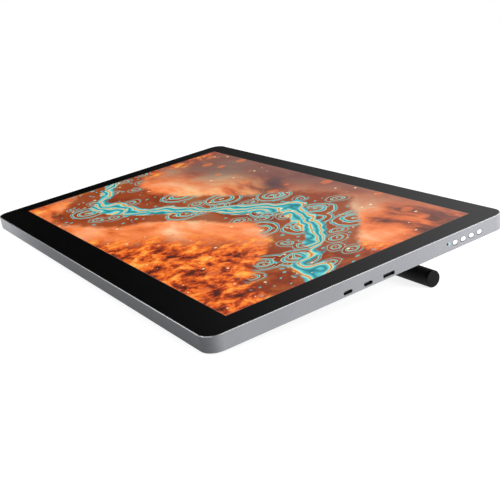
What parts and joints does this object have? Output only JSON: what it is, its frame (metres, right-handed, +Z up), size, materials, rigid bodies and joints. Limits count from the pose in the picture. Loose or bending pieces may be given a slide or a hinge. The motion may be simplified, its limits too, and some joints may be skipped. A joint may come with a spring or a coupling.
{
  "type": "graphics tablet with screen",
  "caption": "Flat pen display with a bordered glass front and slim metal frame, edge ports and push buttons, held at a low tilt by a folding leg with a round foot bar.",
  "frame": {"origin": "on the desk, under the centre of the bounding box, with the stand at its working angle", "axes": "+X along the long edge to the user's right, +Y away from the user, +Z up from the desk; the glass leans 11.5 degrees towards the user"},
  "size_m": [0.5268, 0.3192, 0.0793],
  "materials": {
    "anodised_frame": "fine satin anodised",
    "painted_cover": "fine matt powder coat on aluminium",
    "front_glass": "lightly etched, black printed border",
    "screen_glass": "polished",
    "clear_adhesive": "clear soft film",
    "moulded_frame": "moulded",
    "light_plastic": "clear and white sheet",
    "circuit_board": "solder mask",
    "chip_black": "moulded",
    "flat_cable": "polyimide film",
    "chassis_sheet": "mill finish",
    "bright_steel": "zinc plated",
    "black_steel": "black coated",
    "insert_brass": "turned",
    "black_rubber": "matt",
    "cap_plastic": "fine matt",
    "button_white": "satin white"
  },
  "bodies": {
    "tablet": {"side_frame": "anodised_frame", "back_cover": "painted_cover", "cover_screws": "bright_steel", "front_feet": "black_rubber", "rear_feet": "black_rubber", "vesa_inserts": "insert_brass", "bar_rest_pads": "black_rubber", "cover_glass": "front_glass", "edge_tape": "clear_adhesive", "optical_bond": "clear_adhesive", "lcd_panel": "screen_glass", "panel_frame": "moulded_frame", "diffuser_films": "light_plastic", "light_guide": "light_plastic", "led_bar": "circuit_board", "reflector_sheet": "light_plastic", "digitizer_board": "circuit_board", "shield_sheet": "chassis_sheet", "digitizer_ribbon": "flat_cable", "chassis_plate": "chassis_sheet", "chassis_screws": "bright_steel", "main_board": "circuit_board", "main_board_chips": "chip_black", "board_screws": "bright_steel", "source_board": "circuit_board", "source_films": "flat_cable", "display_cable": "flat_cable", "usb_c_shell_front": "bright_steel", "usb_c_shell_rear": "bright_steel", "hdmi_shell": "bright_steel", "port_tongues": "moulded_frame", "button_board": "circuit_board", "button_ribbon": "flat_cable", "switch_housings": "moulded_frame", "status_led": "light_plastic", "light_pipe": "light_plastic", "hinge_base_left": "black_steel", "hinge_base_right": "black_steel", "hinge_backing_plates": "bright_steel", "hinge_screws": "black_steel", "hinge_pins": "black_steel", "friction_washers": "bright_steel", "hinge_nuts": "black_steel"},
    "stand": {"stand_arm_left": "black_steel", "stand_arm_right": "black_steel", "foot_tube": "black_steel", "rubber_sleeves": "black_rubber", "end_caps": "cap_plastic", "bar_set_screws": "black_steel"},
    "power_key": {"power_button": "button_white", "power_plunger": "button_white"},
    "menu_key": {"menu_button": "button_white", "menu_plunger": "button_white"},
    "minus_key": {"minus_button": "button_white", "minus_plunger": "button_white"},
    "plus_key": {"plus_button": "button_white", "plus_plunger": "button_white"}
  },
  "joints": [
    {"name": "stand_hinge", "type": "hinge", "parent": "tablet", "child": "stand", "pos_m": [0, -0.03581, 0.01712], "axis": [-1, 0, 0], "range_deg": [-13.98, 85.31]},
    {"name": "power_press", "type": "slide", "parent": "tablet", "child": "power_key", "axis": [-1, 0, 0], "range_m": [0, 0.0004], "stiffness_N_per_m": 4000},
    {"name": "menu_press", "type": "slide", "parent": "tablet", "child": "menu_key", "axis": [-1, 0, 0], "range_m": [0, 0.0004], "stiffness_N_per_m": 4000},
    {"name": "minus_press", "type": "slide", "parent": "tablet", "child": "minus_key", "axis": [-1, 0, 0], "range_m": [0, 0.0004], "stiffness_N_per_m": 4000},
    {"name": "plus_press", "type": "slide", "parent": "tablet", "child": "plus_key", "axis": [-1, 0, 0], "range_m": [0, 0.0004], "stiffness_N_per_m": 4000}
  ]
}
